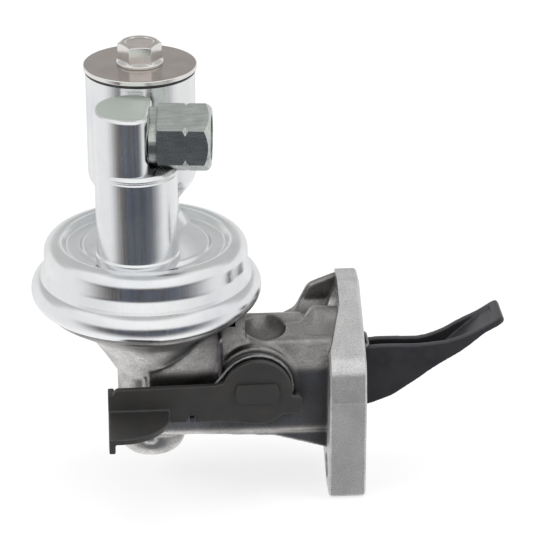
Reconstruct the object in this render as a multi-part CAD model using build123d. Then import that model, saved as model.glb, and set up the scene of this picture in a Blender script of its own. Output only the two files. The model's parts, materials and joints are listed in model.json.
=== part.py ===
"""Mechanical diaphragm fuel pump with a strainer canister, a cam-driven rocker arm and a hand primer lever.

Everything is modelled round the diaphragm's axis: origin where the axis meets the crimp's mid-plane, +X towards
the engine, +Z up. The finished pieces are then moved so that the row's origin is the centre of the two-bolt
flange pattern on the engine face, +X out of that face.
"""
from build123d import *
from math import acos, atan2, cos, degrees, hypot, pi, radians, sin
import os

# Overall layout (mm)
FACE_X = 69.0              # engine face of the flange, from the diaphragm axis
FLANGE_Z = -38.0           # centre of the flange's bolt pattern, from the crimp plane
FIT = 0.05                 # radial clearance of a turning shaft
GAP = 0.3                  # clearance between pieces that move past each other

# Crimped joint: cover, valve plate, diaphragm and body rim
RIM_R = 34.6               # radius of the clamped rims
RIM_THICK = 3.2            # body rim
MEMBRANE = 1.0             # diaphragm thickness
PLATE_T = 1.6              # valve plate thickness
RIM_TOP = -0.5             # top face of the body rim
COVER_T = 1.2              # cover sheet
CRIMP_R = RIM_R + 1.9      # outside of the rolled edge
CRIMP_SHOULDER = 3.4       # height where the rolled edge turns inwards
CRIMP_ROUND = 3.0
LIP_R = RIM_R - 1.4        # inner edge of the rolled lip
WALL_R = RIM_R - 2.2       # cover wall above the crimp
BEAD_TOP = 15.5            # crest of the round bead
BEAD_ROUND = 3.0
BEAD_IN_R = WALL_R - 5.6
CHANNEL_R = BEAD_IN_R - 2.0   # outer edge of the shallow channel
CHANNEL_Z = 12.8
DISC_R = CHANNEL_R - 5.1   # raised middle of the cover
DISC_RAMP = 1.2
DISC_Z = 14.2

# Outlet tower
TOWER_XY = (-2.7, -13.6)
TOWER_R = 12.7
TOWER_UP_R = 11.8
TOWER_SHOULDER_Z = 42.5
TOWER_TOP_Z = 64.0
TOWER_EDGE = 1.1
TOWER_FOOT_R = TOWER_R + 2.9
TOWER_FOOT_H = 3.4
TOWER_BORE_R = 5.0
TOWER_ROOF = 5.0
D_FLAT = 5.8               # flat on the tower's connector side, from its axis

# Connectors
PORT_TURN = -6.0           # connector direction about +Z
PORT_Z = 54.2
HEX_AF = 19.0
HEX_LENGTH = 15.4
HEX_CHAMFER = 1.6
COLLAR_R = 9.2
COLLAR_T = 2.0
GROOVE_W = 2.6
GROOVE_DEPTH = 1.5
PORT_R = 6.2               # minor radius of the M14 x 1.5 port thread
PORT_DEPTH = 12.0
PORT_WAY_R = 3.5
INLET_Z = 46.0

# Strainer canister, its lid and bolt
CAN_R = 17.2
CAN_APART = 0.1            # between tower and canister
CAN_XY = (-0.3, TOWER_XY[1] + TOWER_R + CAN_R + CAN_APART)
CAN_T = 1.2
CAN_TOP_Z = 65.0
CAN_LOW_Z = 30.0           # where the round bottom begins
CAN_BOTTOM_Z = 22.5
CAN_ROUND = 6.5
NECK_R = CAN_R - 5.6
CAN_FOOT_R = NECK_R + 2.4
CAN_FOOT_H = 3.0
GASKET_T = 1.0
LID_R = CAN_R + 0.6
LID_T = 1.5
LID_EDGE = 0.35
BOLT_FLANGE_R = 7.4
BOLT_FLANGE_T = 1.8
BOLT_AF = 12.0
BOLT_HEAD_H = 5.3
BOLT_SHANK_R = 3.0
BOLT_REACH = 15.0
POST_R = 5.0
SCREEN_R = NECK_R + 0.9
SCREEN_T = 0.8

# Valve plate and valves
VALVE_PLATE_Z = 7.0        # underside of its raised middle
VALVE_PLATE_R = RIM_R - 6.6
SEAT_R = 5.6
SEAT_LIP = 0.8
SEAT_BORE = 3.2
DISC_VALVE_R = 4.3
DISC_VALVE_T = 0.9
VALVE_LIFT = 1.2
CAGE_T = 0.6
CAGE_H = 3.4
VALVE_WIRE_R = 0.22
VALVE_Y = 12.5             # each valve's distance from the axis
DIVIDER_T = 3.0

# Diaphragm stack
STROKE = 5.6
STACK_R = 21.0
STACK_T = 1.2
ROD_R = 2.6
ROD_HEAD_R = 5.0
ROD_HEAD_T = 1.8
EYE_Z = -39.0              # centre of the slotted end of the rod
EYE_W = 8.4
EYE_D = 6.0
EYE_WEB = 3.0
EYE_CLEAR = 0.4            # play of the link in the rod's slot
SPRING_R = 10.3
SPRING_WIRE_R = 1.0
SEAL_R = 6.5
SEAL_H = 4.5

# Body: bowl and spring housing
WEB_Z = -18.0              # top of the web under the bowl
WEB_T = 2.6
BOWL_WALL = 3.2
BOWL_SEAT = 5.1            # width of the rim's seat for the diaphragm
BOWL_IN_R = RIM_R - BOWL_SEAT
BOWL_FLOOR_R = 13.0
BOWL_STEP_Z = -5.0
BOWL_MID = (19.5, -15.5)   # where the bowl's outer cone turns steeper
BOWL_LOW = (14.0, -23.5)   # and where it meets the housing
HOUSING_TOP = -29.0
HOUSING_R = 10.8
HOUSING_SHIFT = 0.8        # the outside stands a little off the axis
HOUSING_BOTTOM = -59.0
HOUSING_ROUND = 7.0
HOUSING_BORE = 7.6
RIB_W = 3.0
RIB_OUT = 1.1

# Body: rocker housing
NECK_HALF = 13.0
NECK_TOP = -17.0
NECK_BOTTOM = -50.2
NECK_ROUND = 4.0
CAVITY_HALF = 9.0
CAVITY_TOP = -20.5
CAVITY_BOTTOM = -46.3
CAVITY_X = 13.0
LEDGE_Z = -23.6            # the hollow narrows above this height
THROAT_HALF = 6.5
PASSAGE_HALF = 4.0         # slot from the housing bore to the cavity
LUMP_X = (13.0, 31.0)      # cast block beside the bowl
LUMP_TOP = -6.6
LUMP_BOTTOM = -23.0
BREATHER_R = 2.2
BREATHER_X = 25.5
BREATHER_Z = -10.5
RAMP_Y = (0.5, 20.0)       # ribs that carry the upper flange ear, their outer faces
RAMP_TOP = -11.1
RAMP_X = (48.6, 52.8)      # where their top edge leaves the neck and levels out
TROUGH_R = 16.0            # shallow hollow along the neck's top
TROUGH_DEPTH = 1.2
HEAD_ROOM_R = 7.1          # room for the bolt head between them
FLARE_BOTTOM = -55.0
FLARE_X = 40.0

# Flange
FLANGE_T = 12.0
FLANGE_HALF_Y = 20.0
FLANGE_HALF_Z = 32.0
FLANGE_SLANT = ((-20.0, 2.0), (-18.0, 15.0), (10.0, 32.0))   # upper front outline, turned for the lower back
FLANGE_CORNER = 4.0
FLANGE_TOE = 1.6           # sharper corner at the outline's lower front and upper back
FLANGE_BEVEL = 1.3
EAR_T = 7.2                # the upper ear is thinner than the rest of the flange
EAR_Z = (-22.0, -11.0)     # between these heights its front slopes back
BOLT_Y = 11.0
BOLT_Z = 24.5
BOLT_HOLE_R = 4.25

# Rocker, link and pin
PIVOT_X = 50.0
PIVOT_Z = -33.0
PIN_R = 4.0
PIN_BLIND = 2.0            # depth of the pin's seat in the front wall
EYE_R = 7.0
ROCKER_T = 2.0
ROCKER_ROOT_HALF = 3.9
ROCKER_PAD_HALF = 7.0
ROCKER_FLARE = (90.0, 101.0)   # where the channel widens towards its cam end
ROCKER_TIP_X = 114.5
ARM_TOP = 9.2              # top edge of the webs above the pin
ARM_DEPTH = 11.7           # deepest point of the webs below the pin
ARM_TIP_RISE = 20.1        # cam end above the pin
LINK_T = 3.2
LINK_TIP_X = -4.6
LINK_DEPTH = 5.0
LINK_EYE_R = 5.6
PLUG_T = 1.5
ROCKER_WIRE_R = 0.6
ROCKER_BEND = 1.2
ROCKER_COIL_R = 5.6
ROCKER_BRIDGE_X = 70.5     # where the spring's bridge crosses the arm
ROCKER_BRIDGE_Z = -22.8

# Primer
PRIMER_X = 33.9
PRIMER_Z = -31.0
BOSS_R = 12.8
BOSS_FRONT = -13.4
SPIGOT_R = 10.3
SPIGOT_FRONT = -17.6
SEAL_W = 1.6
SHAFT_R = 7.0
SHAFT_FLAT = 1.0           # half-moon flat below the shaft's axis
SHAFT_END = 12.0
LEVER_BACK = -18.0
LEVER_T = 2.0
LEVER_TOP = -28.5
LEVER_BOTTOM = -40.7
LEVER_LEFT = -11.5
LEVER_HUB_R = 11.1
END_FLATS = 6.6            # across the flats of the shaft's riveted end
END_PROUD = 0.8
PAD_OUT = 38.4
PAD_RIGHT = 5.8
PAD_Z = -36.2
PAD_ROUND = 15.0
PAD_LIP = 5.0
TAB_X = 48.2
TAB_Z = (-32.6, -38.8)
TAB_BACK = -14.6
NOTCH_X = 13.2
NOTCH_H = 2.4
PRIMER_SWING = 25.0
COIL_R = 11.3
COIL_WIRE_R = 0.75
COIL_PITCH = 1.04          # pitch of the close coils, in wire diameters
COIL_STAND = 0.8           # the coil's clearance in front of the boss
COIL_BEND = 1.2
LEG_TOP = -14.2
LEG_INWARD = 4.0


def revolved(points, radii):
    """Solid of revolution about Z from a closed outline of (radius, z) points with one fillet radius each."""
    outline = FilletPolyline(*points, radius=radii, close=True)
    return revolve(make_face(Plane.XZ * outline), Axis.Z)


def ring(r_out, r_in, z_low, z_high):
    """Plain ring or washer about Z."""
    height = z_high - z_low
    return Pos(0, 0, z_low) * extrude(Circle(r_out) - Circle(r_in), height)


def disc(radius, z_low, z_high):
    return Pos(0, 0, z_low) * extrude(Circle(radius), z_high - z_low)


def block(x, y, z):
    """Box from its low and high limits on each axis."""
    size = [high - low for low, high in (x, y, z)]
    return Pos(*[(low + high) / 2 for low, high in (x, y, z)]) * Box(*size)


def side_plate(outline, y_low, y_high):
    """Plate from an (x, z) outline, standing between two Y values."""
    face = make_face(Plane.XZ * outline)
    return Pos(0, y_high, 0) * extrude(face, y_high - y_low, dir=(0, -1, 0))


def pin_along_y(x, z, radius, y_low, y_high):
    return Pos(x, y_high, z) * Rot(90, 0, 0) * extrude(Circle(radius), y_high - y_low)


def pin_along_x(y, z, radius, x_low, x_high):
    return Pos(x_low, y, z) * Rot(0, 90, 0) * extrude(Circle(radius), x_high - x_low)


def coil_spring(radius, wire_r, z_low, z_high, turns):
    """Open coil spring with its wire resting on both end planes."""
    height = z_high - z_low - 2 * wire_r
    path = Helix(pitch=height / turns, height=height, radius=radius)
    wire = Plane(path @ 0, z_dir=path % 0) * Circle(wire_r)
    return Pos(0, 0, z_low + wire_r) * sweep(wire, path=path)


def cover_skin():
    """Half outline of the cover's outer skin, from the rolled lip to the axis."""
    lip_z = RIM_TOP - RIM_THICK - COVER_T
    points = [
        (LIP_R, lip_z), (CRIMP_R, lip_z), (CRIMP_R, CRIMP_SHOULDER), (WALL_R, CRIMP_SHOULDER + CRIMP_ROUND + 0.6),
        (WALL_R, BEAD_TOP), (BEAD_IN_R, BEAD_TOP), (CHANNEL_R, CHANNEL_Z), (DISC_R + DISC_RAMP, CHANNEL_Z),
        (DISC_R, DISC_Z), (0, DISC_Z)]
    radii = [2.4, CRIMP_ROUND, 2.2, BEAD_ROUND, BEAD_ROUND, 1.6, 1.4, 1.4]
    return FilletPolyline(*points, radius=radii)


def cover_envelope():
    """Everything under the cover's outer skin, used to fit feet onto the cover."""
    skin = cover_skin()
    lip = skin @ 0
    closing = Polyline(skin @ 1, (0, lip.Y), (lip.X, lip.Y))
    return revolve(make_face(Plane.XZ * (skin + closing)), Axis.Z)


def sheet_revolved(skin, thickness):
    """Pressed sheet of revolution from its outer skin, the metal lying on the skin's left."""
    section = offset(Wire(skin.edges()), amount=thickness, kind=Kind.INTERSECTION, side=Side.LEFT, closed=True)
    return revolve(make_face(Plane.XZ * section), Axis.Z)


def cover_pressing():
    cover = sheet_revolved(cover_skin(), COVER_T)
    depth = (DISC_Z - 2 * COVER_T, DISC_Z + COVER_T)
    cover -= Pos(*TOWER_XY, 0) * disc(TOWER_BORE_R, *depth)
    cover -= Pos(*CAN_XY, 0) * disc(NECK_R - 2 * CAN_T - 1, *depth)
    return cover


def at_tower(shape):
    return Pos(*TOWER_XY, 0) * Rot(0, 0, PORT_TURN) * shape


def at_canister(shape):
    return Pos(*CAN_XY, 0) * Rot(0, 0, PORT_TURN) * shape


def outlet_tower():
    foot_z = DISC_Z - 1
    slope = (TOWER_FOOT_R - TOWER_R) / TOWER_FOOT_H
    points = [
        (0, foot_z), (TOWER_FOOT_R + slope, foot_z), (TOWER_R, DISC_Z + TOWER_FOOT_H),
        (TOWER_R, TOWER_SHOULDER_Z), (TOWER_UP_R, TOWER_SHOULDER_Z + 1.2), (TOWER_UP_R, TOWER_TOP_Z), (0, TOWER_TOP_Z)]
    tower = revolved(points, [0, 0, 2.0, 0.6, 0.6, TOWER_EDGE, 0])
    reach = 2 * TOWER_R
    flat_z = PORT_Z - HEX_AF / 2 / cos(pi / 6) - GAP
    tower -= block((D_FLAT, reach), (-reach, reach), (flat_z, TOWER_TOP_Z + 1))
    tower -= disc(TOWER_BORE_R, foot_z - 1, TOWER_TOP_Z - TOWER_ROOF)
    tower -= pin_along_x(0, PORT_Z, PORT_WAY_R, 0, reach)
    return at_tower(tower) - cover_envelope()


def hex_connector(seat_x):
    """Connector along +X: round collar on its seat, then a grooved hexagon with one corner up."""
    hex_x = seat_x + COLLAR_T
    end_x = hex_x + HEX_LENGTH
    corner_r = HEX_AF / 2 / cos(pi / 6)
    hexagon = extrude(Plane.YZ.offset(hex_x) * Rot(0, 0, 30) * RegularPolygon(corner_r, 6), HEX_LENGTH)
    rounding = [
        (0, hex_x), (corner_r + 1, hex_x), (corner_r + 1, end_x - HEX_CHAMFER), (HEX_AF / 2 - 0.6, end_x), (0, end_x)]
    groove_x = (hex_x + end_x) / 2
    groove_r = HEX_AF / 2 + 0.2
    groove = [(groove_r + GROOVE_DEPTH, groove_x - GROOVE_W / 2), (groove_r, groove_x),
              (groove_r + GROOVE_DEPTH, groove_x + GROOVE_W / 2)]
    turn_x = Rot(0, 90, 0)
    hexagon &= turn_x * revolved(rounding, [0] * 5)
    hexagon -= turn_x * revolved(groove, [0] * 3)
    body = hexagon + pin_along_x(0, 0, COLLAR_R, seat_x, hex_x)
    body -= pin_along_x(0, 0, PORT_R, end_x - PORT_DEPTH, end_x + 1)
    return body - pin_along_x(0, 0, PORT_WAY_R, seat_x - 1, end_x)


def outlet_connector():
    return at_tower(Pos(0, 0, PORT_Z) * hex_connector(D_FLAT))


def canister_skin():
    foot_z = DISC_Z - 1
    slope = (CAN_FOOT_R - NECK_R) / CAN_FOOT_H
    points = [
        (CAN_FOOT_R + slope, foot_z), (NECK_R, DISC_Z + CAN_FOOT_H), (NECK_R, CAN_BOTTOM_Z),
        (CAN_R, CAN_LOW_Z), (CAN_R, CAN_TOP_Z)]
    return FilletPolyline(*points, radius=[1.5, 2.5, CAN_ROUND])


def inlet_saddle():
    """Seat of the inlet connector: the flat stands just outside the canister's wall."""
    return CAN_R - 1.0


def strainer_canister():
    canister = sheet_revolved(canister_skin(), CAN_T)
    canister -= Rot(0, 0, 90) * pin_along_x(0, INLET_Z, COLLAR_R, CAN_R / 2, 2 * CAN_R)
    return at_canister(canister) - cover_envelope()


def inlet_connector():
    """Twin of the outlet connector on the far side of the canister, its collar let into the wall."""
    connector = Rot(0, 0, 90) * hex_connector(inlet_saddle())
    return at_canister(Pos(0, 0, INLET_Z) * connector)


def centre_post():
    """Post that the lid bolt screws into, on a pierced foot over the inlet hole."""
    foot_r = NECK_R - CAN_T - 0.2
    post = disc(foot_r, DISC_Z, DISC_Z + 1.6) + disc(POST_R, DISC_Z, CAN_TOP_Z - 1)
    for angle in range(0, 360, 60):
        post -= Rot(0, 0, angle) * Pos((foot_r + POST_R) / 2, 0, 0) * disc(1.7, DISC_Z - 1, DISC_Z + 3)
    post -= disc(BOLT_SHANK_R + FIT, CAN_TOP_Z - BOLT_REACH, CAN_TOP_Z)
    return at_canister(post) - cover_envelope()


def strainer_screen():
    """Fine mesh sleeve standing on the canister's cone, under the lid's gasket."""
    sleeve = at_canister(ring(SCREEN_R, SCREEN_R - SCREEN_T, CAN_BOTTOM_Z - 2, CAN_TOP_Z))
    return (sleeve - strainer_canister()).solids().sort_by(Axis.Z)[-1]


def lid_gasket():
    return at_canister(ring(LID_R - 0.5, SCREEN_R - SCREEN_T - 1, CAN_TOP_Z, CAN_TOP_Z + GASKET_T))


def strainer_lid():
    low = CAN_TOP_Z + GASKET_T
    lid = disc(LID_R, low, low + LID_T)
    lid = chamfer(lid.edges().filter_by(GeomType.CIRCLE), LID_EDGE)
    return at_canister(lid - disc(BOLT_SHANK_R + GAP, low - 1, low + LID_T + 1))


def lid_bolt():
    seat = CAN_TOP_Z + GASKET_T + LID_T
    head_z = seat + BOLT_FLANGE_T
    top = head_z + BOLT_HEAD_H
    corner_r = BOLT_AF / 2 / cos(pi / 6)
    head = Pos(0, 0, head_z - 0.5) * extrude(RegularPolygon(corner_r, 6), BOLT_HEAD_H + 0.5)
    crown = [(0, head_z - 1), (corner_r + 1, head_z - 1), (corner_r + 1, top - 0.9), (BOLT_AF / 2 - 0.3, top), (0, top)]
    head &= revolved(crown, [0] * 5)
    flange = [(0, seat), (BOLT_FLANGE_R, seat), (BOLT_FLANGE_R, seat + 0.8), (BOLT_AF / 2 + 0.3, head_z), (0, head_z)]
    bolt = head + revolved(flange, [0, 0, 0.3, 0, 0]) + disc(BOLT_SHANK_R, CAN_TOP_Z - BOLT_REACH + 1, seat + 1)
    return at_canister(Rot(0, 0, -PORT_TURN) * bolt)


def valve_plate():
    """Pressed plate clamped in the rim, raised in the middle, with two holes for the valves."""
    rim_low = RIM_TOP + MEMBRANE
    top = VALVE_PLATE_Z + PLATE_T
    points = [(RIM_R, rim_low + PLATE_T), (VALVE_PLATE_R + 2.6, rim_low + PLATE_T), (VALVE_PLATE_R, top), (0, top)]
    plate = sheet_revolved(FilletPolyline(*points, radius=[2.0, 3.0]), PLATE_T)
    for side in (-1, 1):
        plate -= Pos(0, side * VALVE_Y, 0) * disc(SEAT_R - SEAT_LIP, top - 2 * PLATE_T, top + 1)
    return plate


def divider_seal():
    """Rubber bar between the inlet and outlet chambers, filling the height under the cover."""
    low = VALVE_PLATE_Z + PLATE_T
    width = (-DIVIDER_T / 2, DIVIDER_T / 2)
    long_half = VALVE_PLATE_R - 0.5
    short_half = DISC_R - COVER_T
    bar = block((-long_half, long_half), width, (low, CHANNEL_Z - COVER_T))
    return bar + block((-short_half, short_half), width, (CHANNEL_Z - COVER_T, DISC_Z - COVER_T))


def valve_parts():
    """One valve with its seat's outer face at z = 0: seat, disc, spring and cage, opening towards +Z."""
    face = SEAT_LIP
    seat = ring(SEAT_R - SEAT_LIP, SEAT_BORE, -PLATE_T, face) + ring(SEAT_R, SEAT_BORE, 0, face)
    flap = disc(DISC_VALVE_R, face, face + DISC_VALVE_T)
    top = face + CAGE_H
    cage = ring(SEAT_R, SEAT_R - CAGE_T, face, top) + ring(SEAT_R, SEAT_BORE / 2, top - CAGE_T, top)
    window = block((0, 2 * SEAT_R), (-1.4, 1.4), (face + DISC_VALVE_T, top - 2 * CAGE_T))
    for angle in (0, 120, 240):
        cage -= Rot(0, 0, angle) * window
    spring = coil_spring(DISC_VALVE_R - 1.6, VALVE_WIRE_R, face + DISC_VALVE_T, top - CAGE_T, 2.5)
    return {"seat": seat, "disc": flap, "spring": spring, "cage": cage}


def valves():
    parts = {}
    for name, piece in valve_parts().items():
        parts["outlet_valve_" + name] = Pos(0, -VALVE_Y, VALVE_PLATE_Z + PLATE_T) * piece
        parts["inlet_valve_" + name] = Pos(0, VALVE_Y, VALVE_PLATE_Z) * Rot(180, 0, 0) * piece
    return parts


def diaphragm():
    return ring(RIM_R, ROD_R + GAP, RIM_TOP, RIM_TOP + MEMBRANE)


def upper_diaphragm_plate():
    low = RIM_TOP + MEMBRANE
    points = [(ROD_R, low), (STACK_R, low), (STACK_R, low + STACK_T), (ROD_R, low + STACK_T)]
    return revolved(points, [0, 0, 0.8, 0])


def lower_diaphragm_plate():
    """Plate with a shallow raised centre that keeps the diaphragm spring in place."""
    high = RIM_TOP
    spring_in = SPRING_R - SPRING_WIRE_R - GAP
    points = [
        (ROD_R, high), (STACK_R, high), (STACK_R, high - STACK_T), (spring_in, high - STACK_T),
        (spring_in, high - 2 * STACK_T), (ROD_R, high - 2 * STACK_T)]
    return revolved(points, [0, 0, 0.8, 0, 0.6, 0])


def pull_rod():
    head_z = RIM_TOP + MEMBRANE + STACK_T
    rod = disc(ROD_R, EYE_Z, head_z) + disc(ROD_HEAD_R, head_z, head_z + ROD_HEAD_T)
    slot = LINK_DEPTH / 2 + EYE_CLEAR
    half_w, half_d = EYE_W / 2, EYE_D / 2
    rod += block((-half_d, half_d), (-half_w, half_w), (EYE_Z - slot - EYE_WEB, EYE_Z + slot + EYE_WEB))
    slot_half = LINK_T / 2 + EYE_CLEAR
    return rod - block((-EYE_D, EYE_D), (-slot_half, slot_half), (EYE_Z - slot, EYE_Z + slot))


def rod_seal():
    return ring(SEAL_R, ROD_R + FIT, WEB_Z, WEB_Z + SEAL_H)


def seal_retainer():
    """Pressed cup over the rod seal, its rim carrying the diaphragm spring."""
    top = WEB_Z + SEAL_H
    points = [
        (SEAL_R, WEB_Z), (BOWL_FLOOR_R - 1.4, WEB_Z), (BOWL_FLOOR_R - 1.4, WEB_Z + 1), (SEAL_R + 1, WEB_Z + 1),
        (SEAL_R + 1, top + 1), (ROD_R + 2 * GAP, top + 1), (ROD_R + 2 * GAP, top), (SEAL_R, top)]
    return revolved(points, [0, 0, 0, 0, 0.6, 0, 0, 0])


def diaphragm_spring():
    return coil_spring(SPRING_R, SPRING_WIRE_R, WEB_Z + 1, RIM_TOP - STACK_T, 4.5)


def bowl_and_housing():
    """Bowl under the diaphragm and the spring housing below it."""
    rim_low = RIM_TOP - RIM_THICK
    bowl_r = LIP_R - GAP
    points = [
        (0, RIM_TOP), (RIM_R, RIM_TOP), (RIM_R, rim_low), (bowl_r, rim_low), (bowl_r - 0.5, rim_low - 3.5),
        BOWL_MID, BOWL_LOW, (HOUSING_R, HOUSING_TOP), (0, HOUSING_TOP)]
    bowl = revolved(points, [0, 0, 0.9, 0, 3.0, 6.0, 4.0, 0, 0])
    housing_points = [
        (0, HOUSING_TOP + 4), (HOUSING_R, HOUSING_TOP + 4), (HOUSING_R, HOUSING_BOTTOM), (0, HOUSING_BOTTOM)]
    housing = revolved(housing_points, [0, 0, HOUSING_ROUND, 0])
    rib = block((-RIB_W / 2, RIB_W / 2), (-HOUSING_R - RIB_OUT, 0), (HOUSING_BOTTOM + HOUSING_ROUND, HOUSING_TOP))
    rib = fillet(rib.edges().filter_by(Axis.Z).group_by(Axis.Y)[0], RIB_W / 5)
    return bowl + Pos(HOUSING_SHIFT, 0, 0) * housing + rib


def rounded_bar(x, y, z, radius):
    """Box with its four long edges, along X, rounded."""
    bar = block(x, y, z)
    return fillet(bar.edges().filter_by(Axis.X), radius)


def gussets():
    """Two ribs that carry the upper flange ear, with room for the bolt head between them."""
    start, corner, end = RAMP_X[0], RAMP_X[1], FACE_X - EAR_T + 1
    points = [
        (start - 4, NECK_TOP - 4.5), (start, NECK_TOP - 2.5), (corner, RAMP_TOP), (end, RAMP_TOP),
        (end, NECK_TOP - 14)]
    profile = FilletPolyline(*points, radius=[0, 4.0, 3.5, 0, 0], close=True)
    ribs = side_plate(profile, *RAMP_Y)
    bolt_y, bolt_z = BOLT_Y, FLANGE_Z + BOLT_Z
    reach = (start - 10, FACE_X - EAR_T)
    ribs -= pin_along_x(bolt_y, bolt_z, HEAD_ROOM_R, *reach)
    return ribs - block(reach, (bolt_y - HEAD_ROOM_R, bolt_y + HEAD_ROOM_R), (bolt_z, RAMP_TOP + 1))


def flange():
    """Two-bolt flange, its outline the same when turned half round."""
    half = [(-FLANGE_HALF_Y, -FLANGE_HALF_Z), *FLANGE_SLANT]
    points = half + [(-y, -z) for y, z in half]
    corner = FLANGE_CORNER
    outline = FilletPolyline(*points, radius=[FLANGE_TOE, 12.0, 9.0, corner] * 2, close=True)
    face = make_face(Plane.YZ.offset(FACE_X - FLANGE_T) * outline)
    plate = extrude(face, FLANGE_T, dir=(1, 0, 0))
    for face in (plate.faces().sort_by(Axis.X)[0], plate.faces().sort_by(Axis.X)[-1]):
        plate = chamfer(face.outer_wire().edges(), FLANGE_BEVEL)
    front, seat = FACE_X - FLANGE_T, FACE_X - EAR_T
    relief = Polyline((front, EAR_Z[0]), (seat, EAR_Z[1]), (seat, 0), (front - 1, 0), (front - 1, EAR_Z[0]), close=True)
    return Pos(0, 0, FLANGE_Z) * plate - side_plate(relief, -FLANGE_HALF_Y - 1, FLANGE_HALF_Y + 1)


def flange_holes():
    drill = None
    for side in (-1, 1):
        hole = pin_along_x(side * BOLT_Y, FLANGE_Z + side * BOLT_Z, BOLT_HOLE_R, FACE_X - FLANGE_T - 1, FACE_X + 1)
        drill = hole if drill is None else drill + hole
    return drill


def rocker_cavity():
    """Hollow for rocker, link and primer shaft, open at the engine face and into the spring housing."""
    end = FACE_X + 1
    cavity = block((CAVITY_X, end), (-CAVITY_HALF, CAVITY_HALF), (CAVITY_BOTTOM, LEDGE_Z))
    cavity += block((CAVITY_X, end), (-THROAT_HALF, THROAT_HALF), (LEDGE_Z - 1, CAVITY_TOP))
    link_top = EYE_Z + LINK_DEPTH / 2
    drop = STROKE + LINK_DEPTH / 2
    passage = block((0, CAVITY_X + 1), (-PASSAGE_HALF, PASSAGE_HALF), (EYE_Z - drop - 1, link_top + 2))
    return cavity + passage


def body_casting():
    neck_x = (0, FACE_X - FLANGE_T + 1)
    width = (-NECK_HALF, NECK_HALF)
    body = bowl_and_housing()
    body += rounded_bar(neck_x, width, (NECK_BOTTOM, NECK_TOP), NECK_ROUND)
    body += rounded_bar(LUMP_X, width, (LUMP_BOTTOM, LUMP_TOP), 2.0)
    flare = Polyline(
        (FLARE_X, NECK_BOTTOM + 2), (FLARE_X, NECK_BOTTOM), (FACE_X - FLANGE_T + 1, FLARE_BOTTOM),
        (FACE_X - FLANGE_T + 1, NECK_BOTTOM + 2), close=True)
    body += side_plate(flare, -NECK_HALF + NECK_ROUND / 2, NECK_HALF - NECK_ROUND / 2)
    body -= pin_along_x(0, NECK_TOP - TROUGH_DEPTH + TROUGH_R, TROUGH_R, LUMP_X[1], RAMP_X[0])
    body += gussets()
    body += pin_along_y(PRIMER_X, PRIMER_Z, BOSS_R, BOSS_FRONT, -BOSS_FRONT)
    body += pin_along_y(PRIMER_X, PRIMER_Z, SPIGOT_R, SPIGOT_FRONT, 0)
    body += flange()
    body -= revolved(
        [(0, WEB_Z), (BOWL_FLOOR_R, WEB_Z), (BOWL_IN_R, BOWL_STEP_Z), (BOWL_IN_R, RIM_TOP + 1), (0, RIM_TOP + 1)],
        [0, 1.0, 3.0, 0, 0])
    body -= disc(ROD_R + 2 * GAP, WEB_Z - WEB_T - 1, WEB_Z + 1)
    body -= disc(HOUSING_BORE, HOUSING_BOTTOM + BOWL_WALL, WEB_Z - WEB_T)
    body -= rocker_cavity()
    body -= flange_holes()
    body -= pin_along_y(PRIMER_X, PRIMER_Z, SHAFT_R + FIT, SPIGOT_FRONT - 1, SHAFT_END + FIT)
    body -= pin_along_y(PIVOT_X, PIVOT_Z, PIN_R, -CAVITY_HALF - PIN_BLIND, NECK_HALF + 1)
    leg_x = PRIMER_X - COIL_R
    anchor = (BOSS_FRONT, BOSS_FRONT + LEG_INWARD)
    body -= pin_along_y(leg_x, LEG_TOP, COIL_WIRE_R + FIT, *anchor)
    body -= block((BREATHER_X - BREATHER_R, BREATHER_X + BREATHER_R), (-NECK_HALF - 1, -NECK_HALF + 5),
                  (BREATHER_Z - BREATHER_R, BREATHER_Z + BREATHER_R))
    return body


def arm_face(points, radii):
    return FilletPolyline(*points, radius=radii, close=True)


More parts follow.
